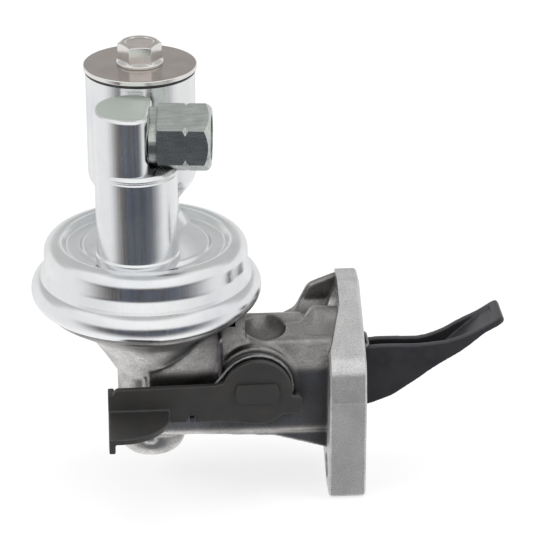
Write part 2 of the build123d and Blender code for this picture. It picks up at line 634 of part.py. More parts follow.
def rocker_arm():
    """Stamped channel, open upwards: two webs on the pin, a floor, and a flared pad at the cam end."""
    px, pz = PIVOT_X, PIVOT_Z
    top_z = pz + ARM_TOP
    low_z = pz - ARM_DEPTH
    tip_z = pz + ARM_TIP_RISE
    flare = ROCKER_FLARE[0]
    top = [(px - EYE_R, pz + 0.8 * EYE_R), (px + 12, top_z - 0.6), (flare - 1.5, top_z), (flare + 5.5, top_z + 1.8),
           (flare + 17, tip_z - 4), (ROCKER_TIP_X - 1, tip_z), (ROCKER_TIP_X + 0.4, tip_z - 2)]
    low = [(flare + 18, tip_z - 5.8), (flare + 11, tip_z - 11.8), (flare + 4, low_z + 14.5), (flare - 3, low_z + 8.7),
           (flare - 11, low_z + 3.1), (px + 21, low_z), (px + 10, low_z + 0.7), (px, pz - EYE_R - 1),
           (px - EYE_R, pz - 4)]
    radii = [4.0, 20.0, 15.0, 25.0, 30.0, 0.8, 1.5, 8.0, 20.0, 30.0, 30.0, 12.0, 8.0, 15.0, 3.0, 3.0]
    web = arm_face(top + low, radii)
    flare_start, flare_end = ROCKER_FLARE
    tip = ROCKER_TIP_X + 1

    def plan(inset):
        root, pad = ROCKER_ROOT_HALF - inset, ROCKER_PAD_HALF - inset
        start, end = px - EYE_R - 1, tip - inset
        half = [(start, root), (flare_start, root), (flare_end, pad), (end, pad)]
        points = half + [(x, -y) for x, y in reversed(half)]
        corner = 4.0 - inset
        outline = FilletPolyline(*points, radius=[0, 20.0, 20.0, corner, corner, 20.0, 20.0, 0], close=True)
        return Pos(0, 0, -70) * extrude(make_face(outline), 70)

    solid = side_plate(web, -ROCKER_PAD_HALF, ROCKER_PAD_HALF) & plan(0)
    inner = Pos(0.4, 0, ROCKER_T) * side_plate(web, -ROCKER_PAD_HALF, ROCKER_PAD_HALF)
    inner += Pos(0.4, 0, 2.2 * ROCKER_T) * side_plate(web, -ROCKER_PAD_HALF, ROCKER_PAD_HALF)
    inner += Pos(-ROCKER_T, 0, ROCKER_T) * side_plate(web, -ROCKER_PAD_HALF, ROCKER_PAD_HALF)
    arm = solid - (inner & plan(ROCKER_T) & block((0, ROCKER_TIP_X - 3.5), (-9, 9), (-70, 0)))
    arm -= block((px - EYE_R - 1, px + 1), (-LINK_T / 2 - GAP, LINK_T / 2 + GAP), (pz - EYE_R - 3, 0))
    return arm - pin_along_y(px, pz, PIN_R + FIT, -9, 9)


def link_lever():
    """Flat link from the pin to the slot in the pull rod, passing under the primer shaft."""
    px, pz = PIVOT_X, PIVOT_Z
    half = LINK_DEPTH / 2
    under_shaft = PRIMER_Z - SHAFT_R * sin(radians(PRIMER_SWING)) - 1.75
    points = [
        (LINK_TIP_X, EYE_Z - half), (LINK_TIP_X, EYE_Z + half), (EYE_D / 2 + 2, EYE_Z + half),
        (PRIMER_X - 4, under_shaft), (PRIMER_X + 3.2, under_shaft), (px - 4.6, pz + 3.2), (px + 3, pz),
        (px, pz - LINK_EYE_R)]
    outline = Polyline(*points, close=True)
    link = side_plate(outline, -LINK_T / 2, LINK_T / 2)
    link += pin_along_y(px, pz, LINK_EYE_R, -LINK_T / 2, LINK_T / 2)
    return link - pin_along_y(px, pz, PIN_R + FIT, -LINK_T, LINK_T)


def rocker_pin():
    return pin_along_y(PIVOT_X, PIVOT_Z, PIN_R, -CAVITY_HALF - PIN_BLIND, NECK_HALF - PLUG_T)


def pin_plug():
    """Shallow dished plug that closes the pin's bore at the back."""
    plug = pin_along_y(PIVOT_X, PIVOT_Z, PIN_R, NECK_HALF - PLUG_T, NECK_HALF)
    return plug - Pos(PIVOT_X, NECK_HALF + 7.4, PIVOT_Z) * Sphere(8.0)


def bent_wire(points, bend, radius):
    """Round wire along straight runs with rounded bends."""
    path = FilletPolyline(*points, radius=bend)
    return sweep(Plane(path @ 0, z_dir=path % 0) * Circle(radius), path=path)


def torsion_coil(radius, wire_r, start, turn):
    """Close coil about the Y axis, anticlockwise as seen from the front, advancing from Y = 0 towards -Y.

    Gives the coil and the point and direction of the wire at its start and end.
    """
    rise = 2 * wire_r * COIL_PITCH * turn / 360
    path = Rot(90, 0, 0) * Rot(0, 0, start) * Helix(pitch=rise * 360 / turn, height=rise, radius=radius)
    coil = sweep(Plane(path @ 0, z_dir=path % 0) * Circle(wire_r), path=path)
    return coil, (path @ 0, -(path % 0)), (path @ 1, path % 1)


def on_circle(radius, angle):
    return radius * cos(radians(angle)), radius * sin(radians(angle))


def upper_tangent(point, radius):
    """Angle, about the origin, where a line from an outside (x, z) point touches the top of a circle."""
    x, z = point
    spread = degrees(acos(radius / hypot(x, z)))
    towards = degrees(atan2(z, x))
    return max((towards - spread, towards + spread), key=lambda angle: sin(radians(angle))) % 360


def rocker_spring():
    """Double torsion spring: a coil each side of the arm, joined by a bridge that presses on the webs."""
    r = ROCKER_WIRE_R
    bridge_x = ROCKER_BRIDGE_X - PIVOT_X
    touch = upper_tangent((bridge_x, ROCKER_BRIDGE_Z - PIVOT_Z), ROCKER_COIL_R)
    coil, (start, back), (end, along) = torsion_coil(ROCKER_COIL_R, r, touch, 720 - touch)
    corner = start + back * ((bridge_x - start.X) / back.X)
    near = ROCKER_ROOT_HALF + r + GAP + corner.Y
    half = coil + bent_wire([start, corner, (corner.X, near, corner.Z)], ROCKER_BEND, r)
    rest_z = LEDGE_Z - PIVOT_Z - r
    rest = end + along * (rest_z / along.Z)
    half += bent_wire([end, rest, rest + Vector(-3, 0, 0)], ROCKER_BEND, r)
    half = Pos(0, -near, 0) * half
    return Pos(PIVOT_X, 0, PIVOT_Z) * (half + mirror(half, about=Plane.XZ))


def primer_shaft():
    """Turned shaft with a half-moon between the housing walls and a flattened, riveted end."""
    shaft = pin_along_y(PRIMER_X, PRIMER_Z, SHAFT_R, LEVER_BACK, SHAFT_END)
    shaft = chamfer(shaft.edges().group_by(Axis.Y)[-1], 0.6)
    low = PRIMER_Z - SHAFT_R - 1
    shaft -= block((PRIMER_X - 9, PRIMER_X + 9), (-CAVITY_HALF + 1, CAVITY_HALF - 1), (low, PRIMER_Z - SHAFT_FLAT))
    groove_y = SPIGOT_FRONT + 4
    groove = pin_along_y(PRIMER_X, PRIMER_Z, SHAFT_R + 1, groove_y - SEAL_W / 2, groove_y + SEAL_W / 2)
    groove -= pin_along_y(PRIMER_X, PRIMER_Z, SHAFT_R - 1, groove_y - SEAL_W, groove_y + SEAL_W)
    shaft -= groove
    return shaft + double_d(LEVER_BACK - LEVER_T - END_PROUD, LEVER_BACK + 1)


def double_d(y_low, y_high):
    end = pin_along_y(PRIMER_X, PRIMER_Z, SHAFT_R, y_low, y_high)
    return end & block((PRIMER_X - SHAFT_R, PRIMER_X + SHAFT_R), (y_low, y_high),
                       (PRIMER_Z - END_FLATS / 2, PRIMER_Z + END_FLATS / 2))


def shaft_seal():
    groove_y = SPIGOT_FRONT + 4
    seal = pin_along_y(PRIMER_X, PRIMER_Z, SHAFT_R, groove_y - SEAL_W / 2, groove_y + SEAL_W / 2)
    return seal - pin_along_y(PRIMER_X, PRIMER_Z, SHAFT_R - 1, groove_y - SEAL_W, groove_y + SEAL_W)


def primer_lever():
    """Stamped lever: hub, bar, finger pad turned forwards, lips at its left end, stop tab and spring notch."""
    front = LEVER_BACK - LEVER_T
    bar = FilletPolyline(
        (LEVER_LEFT, LEVER_TOP), (20.5, LEVER_TOP + 0.6), (PRIMER_X, PRIMER_Z + 6.5), (PRIMER_X, PRIMER_Z - LEVER_HUB_R),
        (22.0, LEVER_BOTTOM), (PAD_RIGHT, LEVER_BOTTOM), (PAD_RIGHT, PAD_Z - LEVER_T), (LEVER_LEFT, PAD_Z - LEVER_T),
        radius=[1.5, 6.0, 0, 0, 10.0, 1.0, 0.8, 1.0], close=True)
    tab = FilletPolyline(
        (PRIMER_X + 5, TAB_Z[0]), (TAB_X - 1, TAB_Z[0]), (TAB_X, TAB_Z[0] - 1), (TAB_X - 0.4, TAB_Z[1]),
        (PRIMER_X + 5, TAB_Z[1]), radius=[0, 0.4, 0.4, 0.5, 0], close=True)
    hub = Pos(PRIMER_X, PRIMER_Z) * Circle(LEVER_HUB_R)
    hole = Pos(PRIMER_X, PRIMER_Z) * (Circle(SHAFT_R) & Rectangle(3 * SHAFT_R, END_FLATS))
    wide = COIL_WIRE_R + GAP
    roof = LEVER_BOTTOM + NOTCH_H
    notch = Polyline(
        (NOTCH_X - wide - 1.6, LEVER_BOTTOM - 1), (NOTCH_X - wide, roof), (NOTCH_X + wide + 0.6, roof),
        (NOTCH_X + wide, LEVER_BOTTOM - 1), close=True)
    stamping = make_face(bar) + hub + make_face(tab) - hole - make_face(notch)
    lever = Pos(0, LEVER_BACK, 0) * extrude(Plane.XZ * stamping, LEVER_T, dir=(0, -1, 0))
    fold = PRIMER_X + COIL_R + COIL_WIRE_R + GAP
    lever += block((fold, TAB_X - 0.4), (front + 0.5, TAB_BACK), (TAB_Z[1] + 0.6, TAB_Z[0] - 1.2))
    pad = block((LEVER_LEFT, PAD_RIGHT), (-PAD_OUT, LEVER_BACK), (PAD_Z - LEVER_T, PAD_Z))
    corner = pad.edges().filter_by(Axis.Z).sort_by(Axis.X)[-2:].sort_by(Axis.Y)[0]
    lever += fillet(corner, PAD_ROUND)
    lip_x = (LEVER_LEFT - LEVER_T + 0.2, LEVER_LEFT + 0.2)
    lever += block(lip_x, (-PAD_OUT, front), (PAD_Z - PAD_LIP, PAD_Z))
    return lever + block(lip_x, (front, LEVER_BACK + 3), (PAD_Z - 0.5, LEVER_TOP - 1.5))


def primer_spring():
    """Torsion spring on the boss: one leg held up in the casting, the other hooked under the lever's notch."""
    r = COIL_WIRE_R
    first_y = BOSS_FRONT - r - COIL_STAND
    hook = (NOTCH_X - PRIMER_X, LEVER_BOTTOM + NOTCH_H - r - GAP - PRIMER_Z)
    leave = upper_tangent(hook, COIL_R)
    coil, (start, back), (end, along) = torsion_coil(COIL_R, r, 180, 180 + leave)
    top = start + back * ((LEG_TOP - PRIMER_Z) / back.Z)
    spring = coil + bent_wire([start, top, top + Vector(0, LEG_INWARD, 0)], COIL_BEND, r)
    corner = end + along * ((hook[0] - end.X) / along.X)
    past_lever = LEVER_BACK - LEVER_T - 1 - first_y
    spring += bent_wire([end, corner, (corner.X, past_lever, corner.Z)], COIL_BEND, r)
    return Pos(PRIMER_X, first_y, PRIMER_Z) * spring


def main():
    parts = {
        "body_casting": body_casting(),
        "cover_pressing": cover_pressing(),
        "outlet_tower": outlet_tower(),
        "outlet_connector": outlet_connector(),
        "strainer_canister": strainer_canister(),
        "inlet_connector": inlet_connector(),
        "centre_post": centre_post(),
        "strainer_screen": strainer_screen(),
        "lid_gasket": lid_gasket(),
        "strainer_lid": strainer_lid(),
        "lid_bolt": lid_bolt(),
        "valve_plate": valve_plate(),
        "divider_seal": divider_seal(),
        "diaphragm": diaphragm(),
        "upper_diaphragm_plate": upper_diaphragm_plate(),
        "lower_diaphragm_plate": lower_diaphragm_plate(),
        "pull_rod": pull_rod(),
        "rod_seal": rod_seal(),
        "seal_retainer": seal_retainer(),
        "diaphragm_spring": diaphragm_spring(),
        "rocker_arm": rocker_arm(),
        "rocker_pin": rocker_pin(),
        "pin_plug": pin_plug(),
        "rocker_spring": rocker_spring(),
        "link_lever": link_lever(),
        "primer_shaft": primer_shaft(),
        "shaft_seal": shaft_seal(),
        "primer_lever": primer_lever(),
        "primer_spring": primer_spring(),
        **valves(),
    }
    os.makedirs("parts", exist_ok=True)
    to_row = Pos(-FACE_X, 0, -FLANGE_Z)
    for node, shape in parts.items():
        export_step(to_row * shape, f"parts/{node}.step")


main()
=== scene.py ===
"""Looks of the fuel pump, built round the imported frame.

Shapes are written in millimetres round the diaphragm's axis, as in the part's source, and show() puts them
into the row frame in metres.
"""
import json
import math

import bmesh
import bpy
from mathutils import Matrix, Vector

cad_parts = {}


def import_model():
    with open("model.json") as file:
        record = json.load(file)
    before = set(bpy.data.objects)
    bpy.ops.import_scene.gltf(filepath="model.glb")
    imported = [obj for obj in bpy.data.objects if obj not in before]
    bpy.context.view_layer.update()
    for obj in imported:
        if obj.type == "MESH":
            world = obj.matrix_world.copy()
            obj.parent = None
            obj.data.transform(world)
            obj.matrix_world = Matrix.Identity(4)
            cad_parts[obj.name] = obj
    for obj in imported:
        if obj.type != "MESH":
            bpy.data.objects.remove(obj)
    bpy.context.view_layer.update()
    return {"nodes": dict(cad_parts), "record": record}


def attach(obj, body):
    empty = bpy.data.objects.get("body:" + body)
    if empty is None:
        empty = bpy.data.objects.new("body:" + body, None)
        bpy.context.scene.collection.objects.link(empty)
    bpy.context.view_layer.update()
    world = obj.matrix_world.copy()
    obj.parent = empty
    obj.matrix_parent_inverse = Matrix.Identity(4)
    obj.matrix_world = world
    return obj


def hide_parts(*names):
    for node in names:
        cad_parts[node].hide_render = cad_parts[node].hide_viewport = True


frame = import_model()

# Where the source's origin lies in the row frame, in millimetres
ROW_X, ROW_Z = -69.0, 38.0
TO_ROW = Matrix.Scale(0.001, 4) @ Matrix.Translation((ROW_X, 0.0, ROW_Z))
HOME = bpy.context.scene.collection

# Upright axes at (x, y), axes along Y at (x, z), axes along X at (y, z)
TOWER = (-2.7, -13.6)
CANISTER = (-0.3, 16.4)
ROCKER_PIN = (50.0, -33.0)
PRIMER_SHAFT = (33.9, -31.0)
BOLT_HOLES = ((11, -13.5), (-11, -62.5))

PORT_TURN = -6.0
OUTLET_Z, INLET_Z = 54.6, 46.0
TOWER_TOP = 64.0
SHEET = 1.2
FLANGE_BACK, FLANGE_FACE, FLANGE_Z = 57, 69, -38


# Mesh helpers

def arc_steps(turn, radius):
    """At most 9 degrees and 1.2 mm a step."""
    return max(3, math.ceil(abs(turn) / math.radians(9)), math.ceil(abs(turn) * radius / 1.2))


def rounded(points, closed=False):
    """Polyline from (x, y) or (x, y, fillet radius) corners."""
    count = len(points)
    line = []
    for i, p in enumerate(points):
        here = Vector(p[:2])
        radius = p[2] if len(p) > 2 else 0
        if radius <= 0 or (not closed and i in (0, count - 1)):
            line.append(here)
            continue
        a = Vector(points[i - 1][:2]) - here
        b = Vector(points[(i + 1) % count][:2]) - here
        room = 0.499 * min(a.length, b.length) if closed else 0.9 * min(a.length, b.length)
        a.normalize()
        b.normalize()
        half = math.acos(max(-1, min(1, a.dot(b)))) / 2
        if half > math.radians(89):
            line.append(here)
            continue
        back = min(radius / math.tan(half), room)
        radius = back * math.tan(half)
        centre = here + (a + b).normalized() * (radius / math.sin(half))
        start = here + a * back - centre
        turn = math.pi - 2 * half
        if a.cross(b) > 0:
            turn = -turn
        steps = arc_steps(turn, radius)
        for k in range(steps + 1):
            angle = turn * k / steps
            c, s = math.cos(angle), math.sin(angle)
            line.append(centre + Vector((start.x * c - start.y * s, start.x * s + start.y * c)))
    return line


def arc(centre, radius, start, step, count):
    """Points on a circle from one angle on, in degrees."""
    angles = [math.radians(start + step * k) for k in range(count)]
    return [(centre[0] + radius * math.cos(a), centre[1] + radius * math.sin(a)) for a in angles]


def new_mesh(bm, recalc=True):
    if recalc:
        bmesh.ops.recalc_face_normals(bm, faces=bm.faces)
    mesh = bpy.data.meshes.new("work")
    bm.to_mesh(mesh)
    bm.free()
    return mesh


def lathe(profile, steps=144):
    """Solid of revolution about Z from a closed (radius, z) polyline."""
    bm = bmesh.new()
    angles = [2 * math.pi * k / steps for k in range(steps)]
    rings = []
    for r, z in profile:
        if r < 1e-6:
            rings.append([bm.verts.new((0, 0, z))])
        else:
            rings.append([bm.verts.new((r * math.cos(a), r * math.sin(a), z)) for a in angles])
    for a, b in zip(rings, rings[1:] + rings[:1]):
        if len(a) == 1 and len(b) == 1:
            continue
        for k in range(steps):
            n = (k + 1) % steps
            if len(a) == 1:
                bm.faces.new((a[0], b[k], b[n]))
            elif len(b) == 1:
                bm.faces.new((a[k], b[0], a[n]))
            else:
                bm.faces.new((a[k], b[k], b[n], a[n]))
    return new_mesh(bm)


def prism(outline, low, high, plane="XY"):
    """Solid from a closed outline, standing between two heights on the plane's normal axis."""
    def at(p, h):
        return {"XY": (p[0], p[1], h), "XZ": (p[0], h, p[1]), "YZ": (h, p[0], p[1])}[plane]
    bm = bmesh.new()
    lower = [bm.verts.new(at(p, low)) for p in outline]
    upper = [bm.verts.new(at(p, high)) for p in outline]
    bm.faces.new(lower)
    bm.faces.new(upper)
    for i in range(len(outline)):
        n = (i + 1) % len(outline)
        bm.faces.new((lower[i], lower[n], upper[n], upper[i]))
    return new_mesh(bm)


def turned(corners, steps=144):
    """Solid of revolution from (radius, z) corners that may carry a fillet radius."""
    return lathe(rounded(corners, closed=True), steps)


def slab(corners, low, high, plane="XY"):
    """Prism from corners that may carry a fillet radius."""
    return prism(rounded(corners, closed=True), low, high, plane)


def box(x, y, z):
    return prism([(x[0], y[0]), (x[1], y[0]), (x[1], y[1]), (x[0], y[1])], z[0], z[1])


def moved(mesh, *matrices):
    for m in matrices:
        mesh.transform(m)
    return mesh


def shift(x, y, z):
    return Matrix.Translation((x, y, z))


def turn(degrees, axis):
    return Matrix.Rotation(math.radians(degrees), 4, axis)


def rod(radius, low, high, axis="Y", at=(0, 0), steps=72):
    """Cylinder along an axis through a point of the plane across it."""
    mesh = lathe([(0, low), (radius, low), (radius, high), (0, high)], steps)
    if axis == "Z":
        return moved(mesh, shift(at[0], at[1], 0))
    if axis == "X":
        return moved(mesh, turn(90, "Y"), shift(0, at[0], at[1]))
    return moved(mesh, turn(-90, "X"), shift(at[0], 0, at[1]))


def joined(*meshes):
    bm = bmesh.new()
    for mesh in meshes:
        bm.from_mesh(mesh)
        bpy.data.meshes.remove(mesh)
    return new_mesh(bm, recalc=False)


def modified(mesh, *steps):
    """Mesh after modifiers, each given as (type, settings)."""
    obj = bpy.data.objects.new("work", mesh)
    HOME.objects.link(obj)
    for kind, settings in steps:
        modifier = obj.modifiers.new(kind, kind)
        for key, value in settings.items():
            setattr(modifier, key, value)
    graph = bpy.context.evaluated_depsgraph_get()
    result = bpy.data.meshes.new_from_object(obj.evaluated_get(graph), depsgraph=graph)
    bpy.data.objects.remove(obj)
    bpy.data.meshes.remove(mesh)
    return result


def combined(mesh, other, operation):
    tool = bpy.data.objects.new("tool", other)
    HOME.objects.link(tool)
    result = modified(mesh, ("BOOLEAN", {"object": tool, "operation": operation, "solver": "EXACT"}))
    bpy.data.objects.remove(tool)
    bpy.data.meshes.remove(other)
    return result


def cut(mesh, *others):
    for other in others:
        mesh = combined(mesh, other, "DIFFERENCE")
    return mesh


def fused(mesh, *others):
    for other in others:
        mesh = combined(mesh, other, "UNION")
    return mesh


def kept(mesh, other):
    return combined(mesh, other, "INTERSECT")


def bevelled(mesh, width, segments, angle):
    return modified(mesh, ("BEVEL", {"width": width, "segments": segments, "limit_method": "ANGLE",
                                     "angle_limit": math.radians(angle), "harden_normals": False}))


def softened(mesh, voxel, passes):
    """One smooth skin round closed solids that overlap, as a casting or a stamping has."""
    return modified(
        mesh, ("REMESH", {"mode": "VOXEL", "voxel_size": voxel, "use_smooth_shade": True}),
        ("SMOOTH", {"factor": 0.5, "iterations": passes}))


def lofted(rings):
    """Solid through rings of as many points each, going along +X, each ring clockwise seen from +X."""
    bm = bmesh.new()
    rows = [[bm.verts.new(p) for p in ring] for ring in rings]
    for a, b in zip(rows, rows[1:]):
        for k in range(len(a)):
            n = (k + 1) % len(a)
            bm.faces.new((a[k], a[n], b[n], b[k]))
    bm.faces.new(rows[0][::-1])
    bm.faces.new(rows[-1])
    return new_mesh(bm)


def tube(points, radius, sides=14):
    """Round wire along points."""
    bm = bmesh.new()
    rings = []
    side = None
    for i, p in enumerate(points):
        before = points[max(i - 1, 0)]
        after = points[min(i + 1, len(points) - 1)]
        along = (after - before).normalized()
        if side is None:
            side = along.orthogonal().normalized()
        side = (side - along * side.dot(along)).normalized()
        up = along.cross(side)
        rings.append([bm.verts.new(p + radius * (side * math.cos(a) + up * math.sin(a)))
                      for a in (2 * math.pi * k / sides for k in range(sides))])
    for a, b in zip(rings, rings[1:]):
        for k in range(sides):
            n = (k + 1) % sides
            bm.faces.new((a[k], a[n], b[n], b[k]))
    bm.faces.new(rings[0][::-1])
    bm.faces.new(rings[-1])
    return new_mesh(bm)


def show(name, mesh, look, body, nodes, angle=32, organic=False):
    """Puts a finished mesh into the row frame as a piece that stands for CAD nodes."""
    mesh.transform(TO_ROW)
    mesh.shade_smooth()
    mesh.set_sharp_from_angle(angle=math.radians(angle))
    mesh.name = name
    obj = bpy.data.objects.new(name, mesh)
    HOME.objects.link(obj)
    if not organic:
        normals = obj.modifiers.new("normals", "WEIGHTED_NORMAL")
        normals.keep_sharp = True
        normals.weight = 60
    mesh.materials.clear()
    mesh.materials.append(LOOKS[look])
    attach(obj, body)
    if nodes:
        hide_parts(*nodes)


# Materials

class Look:
    """A surface with its own node tree; places are millimetres in the row frame."""

    def __init__(self, name, metallic):
        self.material = bpy.data.materials.new(name)
        self.material.use_nodes = True
        self.tree = self.material.node_tree
        self.shader = self.tree.nodes["Principled BSDF"]
        self.shader.inputs["Metallic"].default_value = metallic
        where = self.node("ShaderNodeTexCoord").outputs["Object"]
        self.mm = self.node("ShaderNodeVectorMath", operation="SCALE", Scale=1000.0,
                            Vector=where).outputs["Vector"]

    def node(self, kind, **settings):
        node = self.tree.nodes.new(kind)
        for key, value in settings.items():
            if hasattr(node, key) and key not in node.inputs:
                setattr(node, key, value)
            else:
                self.feed(node.inputs[key], value)
        return node

    def feed(self, socket, value):
        if isinstance(value, bpy.types.NodeSocket):
            self.tree.links.new(value, socket)
        else:
            socket.default_value = value

    def stretched(self, scale, offset=(0, 0, 0)):
        return self.node("ShaderNodeMapping", Vector=self.mm, Scale=scale, Location=offset).outputs["Vector"]

    def noise(self, scale, detail, roughness, vector=None):
        return self.node("ShaderNodeTexNoise", Vector=vector or self.mm, Scale=scale, Detail=detail,
                         Roughness=roughness).outputs["Fac"]

    def math(self, operation, a, b):
        node = self.tree.nodes.new("ShaderNodeMath")
        node.operation = operation
        self.feed(node.inputs[0], a)
        self.feed(node.inputs[1], b)
        return node.outputs[0]

    def spread(self, value, low, high, to_low=0.0, to_high=1.0, smooth=False):
        node = self.node("ShaderNodeMapRange", Value=value)
        node.interpolation_type = "SMOOTHSTEP" if smooth else "LINEAR"
        for key, number in zip(("From Min", "From Max", "To Min", "To Max"), (low, high, to_low, to_high)):
            node.inputs[key].default_value = number
        return node.outputs["Result"]

    def ramp(self, value, *stops):
        node = self.node("ShaderNodeValToRGB", Fac=value)
        elements = node.color_ramp.elements
        while len(elements) < len(stops):
            elements.new(0.5)
        for element, (position, colour) in zip(elements, stops):
            element.position = position
            element.color = (*colour, 1)
        return node.outputs["Color"]

    def mix(self, factor, a, b):
        node = self.tree.nodes.new("ShaderNodeMix")
        node.data_type = "RGBA"
        self.feed(node.inputs[0], factor)
        for socket, value in ((node.inputs[6], a), (node.inputs[7], b)):
            self.feed(socket, value if isinstance(value, bpy.types.NodeSocket) else (*value, 1))
        return node.outputs[2]

    def bump(self, height, distance, normal=None):
        """distance is in millimetres."""
        node = self.node("ShaderNodeBump", Height=height, Distance=distance * 0.001, Strength=1.0)
        if normal is not None:
            self.feed(node.inputs["Normal"], normal)
        return node.outputs["Normal"]

    def height(self):
        return self.node("ShaderNodeSeparateXYZ", Vector=self.mm).outputs["Z"]

    def radius(self):
        """Distance from the diaphragm's axis."""
        flat = self.node("ShaderNodeMapping", Vector=self.mm, Location=(-ROW_X, 0, 0), Scale=(1, 1, 0))
        return self.node("ShaderNodeVectorMath", operation="LENGTH",
                         Vector=flat.outputs["Vector"]).outputs["Value"]

    def facing_up(self, low, high):
        """Rises from 0 to 1 as the surface turns up."""
        normal = self.node("ShaderNodeNewGeometry").outputs["Normal"]
        upward = self.node("ShaderNodeSeparateXYZ", Vector=normal).outputs["Z"]
        return self.spread(upward, low, high, smooth=True)

    def open_air(self, distance, low, high):
        """1 in the open, 0 deep in corners, as a mask for painting shade into corners; distance is in
        millimetres.
        """
        node = self.node("ShaderNodeAmbientOcclusion", Distance=distance * 0.001)
        node.samples = 6
        return self.spread(node.outputs["AO"], low, high, smooth=True)

    def into(self, **sockets):
        for key, value in sockets.items():
            self.feed(self.shader.inputs[key.replace("_", " ")], value)
        return self.material


def zinc_look(name, top=None):
    """Bright plate with faint drawing lines; top is the height of a machined top face, if there is one."""
    look = Look(name, 1.0)
    cloud = look.noise(0.07, 3, 0.55)
    draw = look.noise(1.0, 3, 0.6, look.stretched((1.8, 1.8, 0.04)))
    fine = look.noise(2.6, 3, 0.6)
    colour = look.ramp(cloud, (0.3, (0.80, 0.82, 0.85)), (0.52, (0.88, 0.89, 0.90)),
                       (0.75, (0.85, 0.86, 0.85)))
    rough = look.math("ADD", look.spread(cloud, 0.3, 0.7, 0.15, 0.21),
                      look.spread(draw, 0.35, 0.7, 0.0, 0.09))
    if top is not None:
        flat = look.math("MULTIPLY", look.facing_up(0.90, 0.98),
                         look.spread(look.height(), top - 1.0, top - 0.5))
        colour = look.mix(flat, colour, (0.70, 0.77, 0.71))
        rough = look.math("ADD", rough, look.math("MULTIPLY", flat, 0.12))
    normal = look.bump(draw, 0.014)
    return look.into(Base_Color=colour, Roughness=rough, Normal=look.bump(fine, 0.005, normal=normal))


def machined_zinc_look():
    look = Look("machined_zinc", 1.0)
    cloud = look.noise(0.25, 3, 0.5)
    fine = look.noise(3.0, 3, 0.6)
    lines = look.noise(1.0, 2, 0.5, look.stretched((0.1, 1.4, 1.4)))
    colour = look.ramp(cloud, (0.3, (0.56, 0.60, 0.57)), (0.6, (0.68, 0.72, 0.68)),
                       (0.8, (0.78, 0.79, 0.75)))
    colour = look.mix(look.spread(lines, 0.35, 0.65, 0.40, 0.0), colour, (0.34, 0.36, 0.35))
    # painted shade: the colour goes almost black in corners, such as round the collar between the tower and
    # the hexagon
    colour = look.mix(look.open_air(6.0, 0.35, 0.85), (0.05, 0.05, 0.05), colour)
    rough = look.spread(fine, 0.3, 0.7, 0.20, 0.30)
    normal = look.bump(lines, 0.016)
    return look.into(Base_Color=colour, Roughness=rough, Normal=look.bump(fine, 0.003, normal=normal))


def nickel_look(name, upper):
    """Turned nickel with fine rings round the canister's axis, in a darker brown tone where it faces up."""
    look = Look(name, 1.0)
    cloud = look.noise(0.15, 3, 0.5)
    ring_scale = 0.9
    middle = (-(CANISTER[0] + ROW_X) * ring_scale, -CANISTER[1] * ring_scale, 0)
    rings = look.node("ShaderNodeTexWave", wave_type="RINGS", Scale=1.0, Distortion=0.4, Detail=1.0,
                      Vector=look.stretched((ring_scale, ring_scale, 0), middle))
    rings.rings_direction = "Z"
    up = look.facing_up(0.80, 0.97)
    colour = look.ramp(cloud, (0.3, (0.80, 0.78, 0.75)), (0.7, (0.90, 0.88, 0.86)))
    colour = look.mix(up, colour, look.ramp(cloud, (0.3, upper), (0.7, tuple(1.15 * c for c in upper))))
    rough = look.spread(cloud, 0.3, 0.7, 0.12, 0.20)
    normal = look.bump(look.math("MULTIPLY", rings.outputs["Fac"], up), 0.004)
    return look.into(Base_Color=colour, Roughness=rough,
                     Normal=look.bump(look.noise(3.0, 2, 0.6), 0.003, normal=normal))


def cast_look():
    """Mottled grey casting, with painted shade in its corners and under the cover's rim."""
    look = Look("cast_aluminium", 1.0)
    broad = look.noise(0.10, 4, 0.6)
    grain = look.noise(1.5, 4, 0.6)
    colour = look.ramp(broad, (0.30, (0.44, 0.43, 0.42)), (0.55, (0.68, 0.67, 0.66)),
                       (0.75, (0.84, 0.83, 0.82)))
    colour = look.mix(look.spread(grain, 0.34, 0.56, 0.40, 0.0), colour, (0.22, 0.21, 0.20))
    # painted shade under the cover's rim: darkened up to half way to near black from 17 mm to 29 mm out from
    # the diaphragm's axis and beyond
    painted_rim_shade = look.spread(look.radius(), 17.0, 29.0, 0.0, 0.50, smooth=True)
    colour = look.mix(painted_rim_shade, colour, (0.13, 0.124, 0.12))
    # painted shade: the colour goes near black in corners and crevices
    colour = look.mix(look.open_air(8.0, 0.48, 1.0), (0.075, 0.070, 0.067), colour)
    rough = look.math("ADD", look.spread(grain, 0.3, 0.7, 0.36, 0.24),
                      look.spread(broad, 0.35, 0.65, 0.08, 0.0))
    return look.into(Base_Color=colour, Roughness=rough, Normal=look.bump(grain, 0.045))


def flange_look():
    """Coarse grey casting, rougher below the flange's corner than on the slanted side."""
    look = Look("flange_aluminium", 0.85)
    broad = look.noise(0.12, 4, 0.6)
    grain = look.noise(2.2, 4, 0.65)
    lower = look.spread(look.height(), 2.2, 2.6, 1.0, 0.0)
    colour = look.ramp(broad, (0.30, (0.60, 0.60, 0.60)), (0.6, (0.72, 0.72, 0.72)),
                       (0.8, (0.78, 0.78, 0.77)))
    colour = look.mix(look.spread(grain, 0.34, 0.58, 0.50, 0.0), colour, (0.28, 0.27, 0.26))
    rough = look.math("ADD", look.spread(grain, 0.3, 0.7, 0.36, 0.26), look.math("MULTIPLY", lower, 0.22))
    return look.into(Base_Color=colour, Roughness=rough, Normal=look.bump(grain, 0.05))


def black_look(name, tint, brown, rough_low, rough_high):
    look = Look(name, 0.55)
    cloud = look.noise(0.16, 4, 0.6)
    fine = look.noise(2.2, 4, 0.65)
    colour = look.ramp(cloud, (0.32, tint), (0.6, brown), (0.8, tuple(1.25 * c for c in tint)))
    rough = look.spread(fine, 0.3, 0.7, rough_low, rough_high)
    return look.into(Base_Color=colour, Roughness=rough, Normal=look.bump(fine, 0.02))


